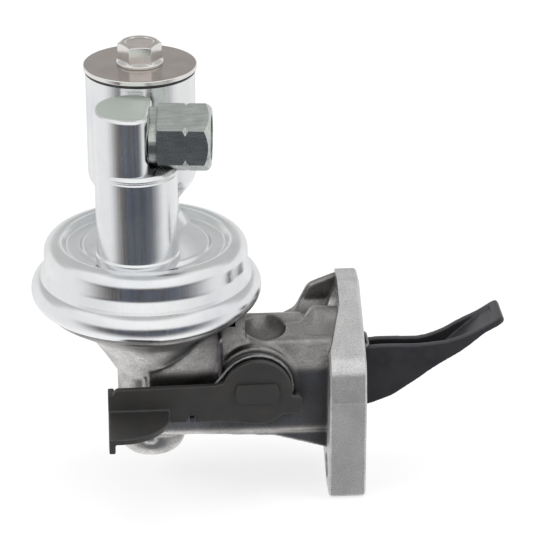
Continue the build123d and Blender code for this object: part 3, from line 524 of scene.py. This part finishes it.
def plain_look(name, metallic, dark, light, rough_low, rough_high, depth=0.01):
    look = Look(name, metallic)
    cloud = look.noise(0.4, 3, 0.6)
    fine = look.noise(2.5, 3, 0.6)
    rough = look.spread(fine, 0.3, 0.7, rough_low, rough_high)
    return look.into(Base_Color=look.ramp(cloud, (0.3, dark), (0.7, light)), Roughness=rough,
                     Normal=look.bump(fine, depth))


LOOKS = {
    "zinc": zinc_look("zinc_plate"),
    "tower": zinc_look("zinc_plate_tower", TOWER_TOP + ROW_Z),
    "machined": machined_zinc_look(),
    "lid": nickel_look("turned_nickel", (0.40, 0.36, 0.33)),
    "bolt": nickel_look("bolt_nickel", (0.55, 0.50, 0.46)),
    "cast": cast_look(),
    "flange": flange_look(),
    "lever": black_look("phosphated_steel", (0.055, 0.055, 0.055), (0.066, 0.063, 0.060), 0.40, 0.52),
    "arm": black_look("oiled_steel", (0.045, 0.046, 0.054), (0.060, 0.056, 0.058), 0.28, 0.42),
    "steel": plain_look("satin_steel", 1.0, (0.46, 0.46, 0.46), (0.58, 0.58, 0.57), 0.28, 0.42),
    "spring": plain_look("spring_steel", 1.0, (0.22, 0.22, 0.23), (0.34, 0.34, 0.34), 0.30, 0.42),
    "brass": plain_look("brass", 1.0, (0.62, 0.47, 0.22), (0.74, 0.58, 0.30), 0.30, 0.45),
    "rubber": plain_look("black_rubber", 0.0, (0.018, 0.018, 0.018), (0.035, 0.035, 0.034), 0.55, 0.75,
                         depth=0.02),
}


# Cover, tower, canister and connectors

def sheet_profile(skin):
    """Closed profile of pressed sheet: the outer skin, and the same line moved to its left inside."""
    inside = []
    for i, p in enumerate(skin):
        along = skin[min(i + 1, len(skin) - 1)] - skin[max(i - 1, 0)]
        along.normalize()
        inside.append(Vector((max(p.x - along.y * SHEET, 0), p.y + along.x * SHEET)))
    return skin + inside[::-1]


def placed(mesh, axis):
    """Turns a piece with the ports and stands it on its upright axis."""
    return moved(mesh, turn(PORT_TURN, "Z"), shift(*axis, 0))


def hexagon_corner(across_flats):
    return across_flats / 2 / math.cos(math.radians(30))


def cover():
    crimp = arc((31.6, -0.9), 4.9, -54, 6, 20)
    skin = rounded([(33.2, -4.9)] + crimp + [
        (33.6, 3.50, 0.1), (33.3, 4.5, 0.4), (32.2, 7.6, 4.0), (32.2, 15.5, 4.3), (26.8, 15.5, 2.2),
        (24.8, 12.8, 1.6), (20.9, 12.8, 1.4), (19.7, 14.2, 1.4), (0, 14.2)])
    show("cover", lathe(sheet_profile(skin), 192), "zinc", "pump_body", ["cover_pressing"])


def tower_outline():
    """The upper part is a circle set back, with a flat for the connector blended in."""
    middle, radius, flat, blend = -0.9, 11.9, 4.8, 5.0
    x = flat - blend
    y = math.sqrt((radius - blend) ** 2 - (x - middle) ** 2)
    meet = math.atan2(y, x - middle)
    half = [(x + blend * math.cos(meet * k / 12), y + blend * math.sin(meet * k / 12)) for k in range(13)]
    half += [(middle + radius * math.cos(a), radius * math.sin(a)) for a in
             (meet + (math.pi - meet) * k / 40 for k in range(1, 40))]
    return half + [(middle - radius, 0)] + [(x, -y) for x, y in reversed(half)]


def tower():
    stem = turned([
        (5.0, 14.0), (13.2, 14.0), (13.2, 16.6, 0.4), (12.7, 17.2, 0.3), (12.7, 43.0, 0.3),
        (12.4, 43.5, 0.3), (12.9, 44.3, 0.6), (12.2, 45.6, 0.9), (9.0, 46.8, 3.0), (5.0, 46.8)])
    body = fused(stem, bevelled(prism(tower_outline(), 40.0, TOWER_TOP), 1.5, 5, 60))
    show("tower", placed(body, TOWER), "tower", "pump_body", ["outlet_tower"])


def connector(seat, collar, length):
    """Along +X from its seat: a collar, then a grooved hexagon with a corner up and a threaded bore."""
    hex_x = seat + collar
    end = hex_x + length
    groove = hex_x + 0.54 * length
    corner = hexagon_corner(19)
    pitch = 1.5
    bore = [(6.9, end), (6.9, end - 0.6)]
    x = end - 0.6
    while x > end - 11.5:
        bore += [(6.2, x - pitch / 2), (7.0, x - pitch)]
        x -= pitch
    profile = [
        (3.5, seat), (9.2, seat, 0.3), (9.2, hex_x - 0.1), (corner - 0.5, hex_x), (corner + 1, hex_x + 0.8),
        (corner + 1, groove - 2.1), (10.2, groove, 0.3), (corner + 1, groove + 2.1), (corner + 1, end - 2.5),
        (8.9, end, 0.3)] + bore + [(3.5, end - 12.6)]
    hexagon = prism(arc((0, 0), corner, 90, 60, 6), hex_x - 0.05, end + 1, "YZ")
    blank = fused(hexagon, rod(9.2, seat - 1, hex_x + 1, "X", steps=96))
    return bevelled(kept(moved(turned(profile, 96), turn(90, "Y")), blank), 0.22, 2, 20)


def connectors():
    outlet = moved(connector(4.5, 2.7, 16.0), shift(0, 0, OUTLET_Z))
    show("outlet_connector_shell", placed(outlet, TOWER), "machined", "pump_body", ["outlet_connector"],
         14)
    inlet = moved(connector(16.2, 2.0, 15.4), turn(90, "Z"), shift(0, 0, INLET_Z))
    show("inlet_connector_shell", placed(inlet, CANISTER), "machined", "pump_body", ["inlet_connector"],
         14)


def canister():
    skin = rounded([(15.2, 13.2), (11.6, 17.2, 1.5), (11.6, 22.5, 2.5), (17.2, 30.0, 6.5), (17.2, 65.0)])
    body = lathe(sheet_profile(skin), 160)
    hole = moved(rod(9.2, 8, 30, "X", steps=64), turn(90, "Z"), shift(0, 0, INLET_Z))
    show("canister", placed(cut(body, hole), CANISTER), "zinc", "pump_body", ["strainer_canister"])


def lid():
    low = 66.0
    gasket = turned([(10.7, low - 1), (17.4, low - 1, 0.3), (17.4, low, 0.3), (10.7, low)], 160)
    show("gasket", placed(gasket, CANISTER), "rubber", "pump_body", ["lid_gasket"])
    plate = turned([(3.3, low), (17.8, low, 0.3), (17.8, low + 1.5, 0.4), (3.3, low + 1.5)], 160)
    show("lid", placed(plate, CANISTER), "lid", "pump_body", ["strainer_lid"])
    seat, head, top = low + 1.5, low + 3.3, low + 8.6
    corner = hexagon_corner(12)
    crown = turned([
        (0, head - 1), (corner + 1, head - 1), (corner + 1, top - 1.0), (5.5, top, 0.3), (4.6, top, 0.2),
        (4.2, top - 0.35, 0.2), (0, top - 0.35)], 96)
    hexagon = bevelled(kept(crown, prism(arc((0, 0), corner, 0, 60, 6), head - 2, top + 1)), 0.2, 2, 25)
    skirt = turned([(0, seat), (7.4, seat, 0.2), (7.4, seat + 0.9, 0.4), (6.2, head, 0.4), (0, head)], 96)
    bolt = moved(fused(skirt, hexagon, rod(3.0, 51, seat + 0.5, "Z")), turn(-PORT_TURN, "Z"))
    show("bolt", placed(bolt, CANISTER), "bolt", "pump_body", ["lid_bolt"])


cover()
tower()
connectors()
canister()
lid()


# Body casting

def flange_outline(grow=0.0):
    half_y, half_z = 20, 32
    half = [(-20.0, -32.0, 1.6), (-20.0, 2.0, 12.0), (-18.0, 15.0, 9.0), (10.0, 32.0, 4.0)]
    points = rounded(half + [(-y, -z, r) for y, z, r in half], closed=True)
    if grow:
        scale_y, scale_z = (half_y + grow) / half_y, (half_z + grow) / half_z
        points = [Vector((p.x * scale_y, p.y * scale_z)) for p in points]
    return [Vector((p.x, p.y + FLANGE_Z)) for p in points]


def ear_relief():
    """What is missing in front of the upper ear, which is thinner than the rest."""
    return prism([(57, -22), (61.8, -11), (61.8, 0), (56, 0), (56, -22)], -21, 21, "XZ")


def bolt_holes(radius):
    return [rod(radius, 50, 75, "X", place) for place in BOLT_HOLES]


def mouth(start, slot_start, end):
    """The rocker arm's mouth, and the narrower slot over it for the arm's spring."""
    return [box((start, end), (-9, 9), (-46.3, -23.6)), box((slot_start, end), (-6.5, 6.5), (-24.6, -20.5))]


def web(top_corner, top_radius, top_end, low, high):
    """Upright web from the neck's top up to the upper ear."""
    return slab([(44.6, -21.5), (48.6, -19.5, 4.0), (*top_corner, top_radius), (62.8, top_end), (62.8, -31)],
                low, high, "XZ")


def fairing():
    """Blend from the neck's top up to the ear's slanted back, section by section towards the flange."""
    return lofted([
        ((43.0, 0.6, -17.3), (43.0, -2.5, -17.3), (43.0, -5.5, -17.4), (43.0, -9.0, -18.3),
         (43.0, -11.0, -21.5), (43.0, 0.6, -22.0)),
        ((49.0, 0.6, -15.5), (49.0, -2.2, -16.0), (49.0, -5.0, -16.9), (49.0, -9.2, -18.2),
         (49.0, -11.2, -21.5), (49.0, 0.6, -22.0)),
        ((53.5, 0.6, -11.3), (53.5, -1.6, -13.4), (53.5, -4.2, -15.7), (53.5, -9.4, -17.9),
         (53.5, -11.3, -21.5), (53.5, 0.6, -22.0)),
        ((61.9, 0.6, -12.3), (61.4, -1.4, -13.2), (60.4, -3.8, -15.2), (58.9, -9.6, -18.3),
         (57.4, -11.4, -21.5), (57.4, 0.6, -22.0))])


def ellipsoid(half_axes, place):
    half_circle = [(math.sin(a), math.cos(a)) for a in (math.radians(6 * k) for k in range(31))]
    return moved(lathe(half_circle, 64), Matrix.Diagonal((*half_axes, 1.0)), shift(*place))


def casting():
    bowl = turned([
        (0, -0.5), (34.6, -0.5), (34.6, -3.7), (32.9, -3.7), (32.4, -7.2, 3.0), (19.5, -15.5, 6.0),
        (14.0, -23.5, 4.0), (10.8, -29.0), (0, -29.0)])
    housing = moved(turned([(0, -25), (10.8, -25), (10.8, -59, 7.0), (0, -59)], 96), shift(0.8, 0, 0))
    rib = box((-1.5, 1.5), (-11.9, -8), (-52, -29))
    neck = slab([
        (-13, -50.2, 4.0), (13, -50.2, 4.0), (13, -17, 4.0), (-10.2, -17, 1.6), (-13, -27.0, 8.0)],
        0, 58, "YZ")
    lump = slab([(-11.9, -23), (13, -23), (13, -6.6, 2.0), (-7.5, -6.6, 2.0)], 13, 31, "YZ")
    flare = prism([(12, -47), (12, -49.6), (40, -51.4), (58, -56.6), (58, -47)], -11, 11, "XZ")
    low_web = web((52.8, -11.1), 3.5, -12.6, 0.5, 18)
    high_web = web((52.8, -10.9), 5.0, -7.0, 17.6, 20)
    low_web = cut(low_web, rod(7.1, 38, 61.8, "X", BOLT_HOLES[0]), box((38, 61.8), (3.9, 17.8), (-13.5, -7)))
    hollow = ellipsoid((6.9, 9.6, 6.0), (37.6, -0.4, -15.9))
    boss = rod(12.8, -13.4, 13.4, "Y", PRIMER_SHAFT)
    spigot = rod(10.3, -17.6, 0, "Y", PRIMER_SHAFT)
    root = cut(prism(flange_outline(-0.5), 57.6, 68.4, "YZ"), moved(ear_relief(), shift(0.5, 0, 0)))
    solid = joined(bowl, housing, rib, neck, lump, flare, low_web, high_web, fairing(), boss, spigot, root)
    solid = softened(cut(softened(solid, 0.5, 2), hollow), 0.5, 6)
    cavity = turned([(0, -18), (13, -18, 1.0), (29.5, -5, 3.0), (29.5, 1), (0, 1)], 96)
    rod_way, spring_well = rod(3.2, -24, -17, "Z"), rod(7.6, -55.8, -20.6, "Z")
    link_way = box((0, 14), (-4, 4), (-48.1, -34.5))
    shaft_bore = rod(7.05, -18.6, 12.05, "Y", PRIMER_SHAFT)
    pin_bore = rod(4.0, -11, 14, "Y", ROCKER_PIN)
    spring_hole = rod(0.8, -13.9, -7, "Y", (22.6, -14.2))
    breather = box((23.3, 27.7), (-15, -5), (-12.7, -8.3))
    solid = cut(solid, cavity, rod_way, spring_well, *mouth(13, 44, 71), link_way, shaft_bore,
                *bolt_holes(4.4), pin_bore, spring_hole, breather)
    show("casting", solid, "cast", "pump_body", ["body_casting"], 40, organic=True)


def flange():
    plate = bevelled(prism(flange_outline(), FLANGE_BACK, FLANGE_FACE, "YZ"), 1.3, 3, 60)
    plate = cut(plate, ear_relief(), *bolt_holes(4.25), *mouth(50, 50, 75))
    show("flange_plate", plate, "flange", "pump_body", [], 25)


casting()
flange()


# Rocker arm

def rocker_arm():
    px, pz = ROCKER_PIN
    side = rounded([
        (px - 7, pz + 5.5, 4.0), (62, -24.3, 20.0), (75, -23.6), (88.5, -23.8, 15.0), (96, -22.2, 25.0),
        (107, -17.0, 30.0), (113.3, -12.9, 0.8), (114.7, -15.0, 1.5), (108, -18.7, 8.0), (101, -24.7, 20.0),
        (94, -30.2, 30.0), (87, -36.0, 30.0), (79, -41.6, 12.0), (71, -44.7, 8.0), (60, -44.0, 15.0),
        (px, pz - 8, 3.0), (px - 7, pz - 4, 3.0)], closed=True)

    def plan(inset):
        root, pad, end = 3.9 - inset, 7.0 - inset, 115.5 - inset
        half = [(42, root), (90, root, 20.0), (101, pad, 20.0), (end, pad, 4.0 - inset)]
        return slab(half + [(x, -y, *r) for x, y, *r in reversed(half)], -70, 0)

    def profile(dx, dz):
        return moved(prism(side, -8, 8, "XZ"), shift(dx, 0, dz))

    solid = kept(profile(0, 0), plan(0))
    inner = fused(profile(0.4, 2.0), profile(0.4, 4.4), profile(-2.0, 2.0))
    inner = kept(kept(inner, plan(2.0)), box((0, 111), (-9, 9), (-70, 0)))
    link_gap = box((42, 51), (-1.9, 1.9), (-43, 0))
    arm = softened(cut(solid, inner, link_gap, rod(4.05, -9, 9, "Y", ROCKER_PIN)), 0.3, 6)
    show("arm", arm, "arm", "rocker", ["rocker_arm"], 50, organic=True)


rocker_arm()


# Primer lever and shaft

def double_d(grow, low, high):
    """The shaft's end, flattened above and below, along Y."""
    px, pz = PRIMER_SHAFT
    end = rod(7.0 + grow, low, high, "Y", PRIMER_SHAFT, 64)
    return kept(end, box((px - 9, px + 9), (low - 1, high + 1), (pz - 3.3 - grow, pz + 3.3 + grow)))


def primer_lever():
    back, front = -18.0, -20.0
    px, pz = PRIMER_SHAFT
    bar = slab([
        (-11.5, -28.5, 1.5), (20.5, -27.9, 6.0), (px, pz + 6.5), (px, pz - 11.1), (22.0, -40.7, 10.0),
        (5.8, -40.7, 1.0), (5.8, -38.2, 0.8), (-11.5, -38.2, 1.0)], front, back, "XZ")
    tab = slab([
        (px + 5, -32.6), (47.2, -32.6, 0.4), (48.2, -33.6, 0.4), (47.8, -38.8, 0.5), (px + 5, -38.8)],
        front, back, "XZ")
    fold = box((46.25, 47.8), (front + 0.5, -14.6), (-38.2, -33.8))
    round_corner = arc((-9.2, -23.4), 15.0, -90, 6, 16)
    pad = prism([(-11.5, -38.4)] + round_corner + [(5.8, back), (-11.5, back)], -38.2, -36.2)
    low_lip = box((-13.3, -11.3), (-38.4, front), (-41.2, -36.2))
    high_lip = box((-13.3, -11.3), (front, -15), (-36.7, -30.0))
    hub = rod(11.1, front, back, "Y", PRIMER_SHAFT, 96)
    lever = joined(bar, hub, tab, fold, pad, low_lip, high_lip)
    notch = prism([(10.55, -41.7), (12.15, -38.3), (14.85, -38.3), (14.25, -41.7)],
                  front - 1, back + 1, "XZ")
    lever = cut(softened(lever, 0.28, 5), notch, double_d(0.05, front - 1, back + 1))
    show("lever", lever, "lever", "primer", ["primer_lever"], 50, organic=True)


def primer_shaft():
    px, pz = PRIMER_SHAFT
    end = bevelled(double_d(0, -20.8, -17.2), 0.35, 2, 40)
    half_moon = box((px - 9, px + 9), (-8, 8), (pz - 8, pz - 1))
    shaft = cut(rod(7.0, -18.0, 12.0, "Y", PRIMER_SHAFT), half_moon)
    show("shaft", fused(shaft, end), "lever", "primer", ["primer_shaft"])


primer_lever()
primer_shaft()


# Springs

# In wire diameters
COIL_PITCH = 1.04


def on_circle(radius, degrees):
    return radius * math.cos(math.radians(degrees)), radius * math.sin(math.radians(degrees))


def bend(points, radius, steps=6):
    """Path through 3-D corners with rounded bends."""
    line = [points[0]]
    for before, here, after in zip(points, points[1:], points[2:]):
        a = (before - here).normalized()
        b = (after - here).normalized()
        reach = min(radius, 0.45 * (before - here).length, 0.45 * (after - here).length)
        start, end = here + a * reach, here + b * reach
        for k in range(steps + 1):
            t = k / steps
            line.append((1 - t) ** 2 * start + 2 * t * (1 - t) * here + t ** 2 * end)
    return line + [points[-1]]


def coil_points(centre, radius, start, sweep, first_y, rise, steps=24):
    """Coil about the Y axis from one angle, anticlockwise from the front, advancing towards -Y."""
    count = max(2, int(steps * sweep / 360))
    points = []
    for k in range(count + 1):
        x, z = on_circle(radius, start + sweep * k / count)
        points.append(Vector((centre[0] + x, first_y - rise * sweep * k / count / 360, centre[1] + z)))
    return points


def upper_tangent(point, radius):
    """Angle at which a tangent from a point leaves a circle on its upper side."""
    spread = math.degrees(math.acos(radius / math.hypot(*point)))
    towards = math.degrees(math.atan2(point[1], point[0]))
    return max((towards - spread, towards + spread), key=lambda a: math.sin(math.radians(a))) % 360


def primer_spring():
    centre, radius, wire = PRIMER_SHAFT, 11.3, 0.75
    hook_x = 13.2
    hook = (hook_x - centre[0], -38.3 - wire - 0.3 - centre[1])
    leave = upper_tangent(hook, radius)
    first_y = -13.4 - wire - 0.8
    coil = coil_points(centre, radius, 180, 180 + leave, first_y, 2 * wire * COIL_PITCH)
    top = Vector((centre[0] - radius, first_y, -14.2))
    start = bend([top + Vector((0, 6.8, 0)), top, coil[0]], 1.2)
    end = coil[-1]
    corner = Vector((hook_x, end.y - 0.2, hook[1] + centre[1]))
    tail = bend([end, corner, Vector((hook_x, -21.0, corner.z))], 1.2)
    mesh = tube(start + coil[1:] + tail[1:], wire)
    show("lever_spring", mesh, "spring", "pump_body", ["primer_spring"])


def rocker_spring():
    """Two coils side by side on the pin, joined by a bridge over the arm."""
    centre, radius, wire = ROCKER_PIN, 5.6, 0.6
    bridge_x, bridge_z = 70.5, -22.8
    touch = upper_tangent((bridge_x - centre[0], bridge_z - centre[1]), radius)
    first_y = -(3.9 + wire + 0.3)
    coil = coil_points(centre, radius, touch, 720 - touch, first_y, 2 * wire * COIL_PITCH)
    middle = Vector((bridge_x, 0, bridge_z))
    corner = Vector((bridge_x, first_y, bridge_z))
    end = coil[-1]
    leg = Vector((end.x, end.y, -23.6 - wire))
    path = [middle] + bend([middle, corner, coil[0]], 1.2)[1:]
    path += coil[1:] + bend([end, leg, leg + Vector((-3, 0, 0))], 1.2)[1:]
    other = [Vector((p.x, -p.y, p.z)) for p in path]
    mesh = tube(path[::-1] + other[1:], wire, 12)
    show("arm_spring", mesh, "spring", "pump_body", ["rocker_spring"])


primer_spring()
rocker_spring()


# CAD pieces that show as they are

NODE_LOOKS = {
    "plain_steel": "steel", "spring_steel": "spring", "brass_mesh": "brass", "black_rubber": "rubber",
    "zinc_steel": "zinc", "bright_lid": "lid", "dark_steel": "arm", "cast_body": "cast"}
for part in frame["record"]["subparts"]:
    node = frame["nodes"][part["node"]]
    node.data.materials.clear()
    node.data.materials.append(LOOKS[NODE_LOOKS[part["material_slot"]]])


# Camera, light and floor

# Solved from the photograph's round rims
AZIMUTH, ELEVATION = math.radians(-4.0), math.radians(24.3)
level = math.cos(ELEVATION)
back = Vector((math.sin(AZIMUTH) * level, -math.cos(AZIMUTH) * level, math.sin(ELEVATION)))
camera = bpy.data.objects.new("camera", bpy.data.cameras.new("camera"))
camera.data.lens = 168.54
camera.data.sensor_width = 36.0
camera.data.clip_start, camera.data.clip_end = 0.05, 20.0
camera.location = (-0.08117, -0.72242, 0.36865)
camera.rotation_mode = "QUATERNION"
camera.rotation_quaternion = (-back).to_track_quat("-Z", "Y")
HOME.objects.link(camera)
bpy.context.scene.camera = camera


def softbox(name, place, target, width, height, power):
    """Soft lamp that gloss doesn't see."""
    lamp = bpy.data.lights.new(name, "AREA")
    lamp.shape = "RECTANGLE"
    lamp.size, lamp.size_y = width, height
    lamp.energy = power
    obj = bpy.data.objects.new(name, lamp)
    obj.location = place
    obj.rotation_mode = "QUATERNION"
    obj.rotation_quaternion = (Vector(target) - Vector(place)).to_track_quat("-Z", "Y")
    obj.visible_glossy = False
    HOME.objects.link(obj)


MIDDLE = (-0.05, 0.0, 0.03)
softbox("left_box", (-0.75, -0.25, 0.35), MIDDLE, 0.5, 0.8, 6.0)
softbox("right_box", (0.70, -0.20, 0.35), MIDDLE, 0.4, 0.8, 4.5)
softbox("top_box", (-0.05, 0.05, 0.95), MIDDLE, 0.9, 0.7, 9.0)


def world():
    """White for the camera; gloss sees it dark low in front, dimmer in some parts and white elsewhere."""
    sky = bpy.data.worlds.new("studio")
    sky.use_nodes = True
    tree = sky.node_tree
    background = tree.nodes["Background"]
    path = tree.nodes.new("ShaderNodeLightPath")
    where = tree.nodes.new("ShaderNodeTexCoord")
    split = tree.nodes.new("ShaderNodeSeparateXYZ")
    tree.links.new(where.outputs["Generated"], split.inputs[0])

    def math_node(operation, a, b):
        node = tree.nodes.new("ShaderNodeMath")
        node.operation = operation
        for socket, value in zip(node.inputs, (a, b)):
            if isinstance(value, bpy.types.NodeSocket):
                tree.links.new(value, socket)
            else:
                socket.default_value = value
        return node.outputs[0]

    def span(axis, low, high):
        node = tree.nodes.new("ShaderNodeMapRange")
        node.interpolation_type = "SMOOTHSTEP"
        tree.links.new(split.outputs[axis] if isinstance(axis, str) else axis, node.inputs["Value"])
        node.inputs["From Min"].default_value = low
        node.inputs["From Max"].default_value = high
        return node.outputs["Result"]

    # 0 low in front and 1 elsewhere
    open_front = math_node("MAXIMUM", span("Y", -0.80, -0.12), span("Z", -0.16, 0.14))
    # how far the white is dimmed: overhead, in the upper half behind, at both sides and straight behind
    upper_back = math_node("MULTIPLY", span("Z", 0.15, 0.38), span("Y", 0.0, 0.4))
    dim = math_node("MAXIMUM", span("Z", 0.86, 0.97), upper_back)
    sides = math_node("ABSOLUTE", split.outputs["X"], 0.0)
    dim = math_node("MAXIMUM", dim, math_node("MULTIPLY", span(sides, 0.30, 0.85), 0.30))
    dim = math_node("MAXIMUM", dim, math_node("MULTIPLY", span("Y", 0.55, 0.90), 0.40))
    # the dark part is patchy, from brown to blue
    patches = tree.nodes.new("ShaderNodeTexNoise")
    patches.inputs["Scale"].default_value = 2.6
    patches.inputs["Detail"].default_value = 1.0
    tree.links.new(where.outputs["Generated"], patches.inputs["Vector"])
    shade = tree.nodes.new("ShaderNodeValToRGB")
    tree.links.new(patches.outputs["Fac"], shade.inputs[0])
    for element, position, colour in zip(shade.color_ramp.elements, (0.42, 0.60),
                                         ((0.075, 0.062, 0.056, 1), (0.100, 0.120, 0.160, 1))):
        element.position, element.color = position, colour
    # the camera and matt surfaces see it plain
    plain = math_node("MAXIMUM", path.outputs["Is Camera Ray"], path.outputs["Is Diffuse Ray"])
    tint = tree.nodes.new("ShaderNodeMix")
    tint.data_type = "RGBA"
    tree.links.new(math_node("MAXIMUM", open_front, plain), tint.inputs[0])
    tree.links.new(shade.outputs["Color"], tint.inputs[6])
    tint.inputs[7].default_value = (1, 1, 1, 1)
    tree.links.new(tint.outputs[2], background.inputs["Color"])
    room = math_node("SUBTRACT", 1.0, math_node("MULTIPLY", dim, 0.46))
    seen = math_node("MAXIMUM", path.outputs["Is Glossy Ray"], path.outputs["Is Transmission Ray"])
    glossy = math_node("MULTIPLY", seen, room)
    diffuse = math_node("MULTIPLY", path.outputs["Is Diffuse Ray"], 0.45)
    strength = math_node("MAXIMUM", path.outputs["Is Camera Ray"], math_node("MAXIMUM", glossy, diffuse))
    tree.links.new(strength, background.inputs["Strength"])
    bpy.context.scene.world = sky


def floor():
    """Pale floor for the camera and the shadow; gloss sees the world through it."""
    top, thickness = -0.0325, 0.003
    mesh = slab([(-0.6, -0.6, 0.05), (0.6, -0.6, 0.05), (0.6, 0.9, 0.1), (-0.6, 0.9, 0.1)],
                top - thickness, top)
    plate = bpy.data.objects.new("floor", mesh)
    HOME.objects.link(plate)
    surface = bpy.data.materials.new("floor_white")
    surface.use_nodes = True
    tree = surface.node_tree
    shader = tree.nodes["Principled BSDF"]
    shader.inputs["Base Color"].default_value = (0.9, 0.9, 0.9, 1)
    shader.inputs["Roughness"].default_value = 0.7
    # three quarters of what the camera sees is plain white, the rest carries the shadow
    path = tree.nodes.new("ShaderNodeLightPath")
    share = tree.nodes.new("ShaderNodeMath")
    share.operation = "MULTIPLY"
    share.inputs[1].default_value = 0.75
    tree.links.new(path.outputs["Is Camera Ray"], share.inputs[0])
    white = tree.nodes.new("ShaderNodeEmission")
    white.inputs["Strength"].default_value = 1.0
    blend = tree.nodes.new("ShaderNodeMixShader")
    tree.links.new(share.outputs[0], blend.inputs[0])
    tree.links.new(shader.outputs[0], blend.inputs[1])
    tree.links.new(white.outputs[0], blend.inputs[2])
    tree.links.new(blend.outputs[0], tree.nodes["Material Output"].inputs["Surface"])
    mesh.materials.append(surface)
    plate.visible_glossy = False


world()
floor()
bpy.context.scene.view_settings.view_transform = "Standard"
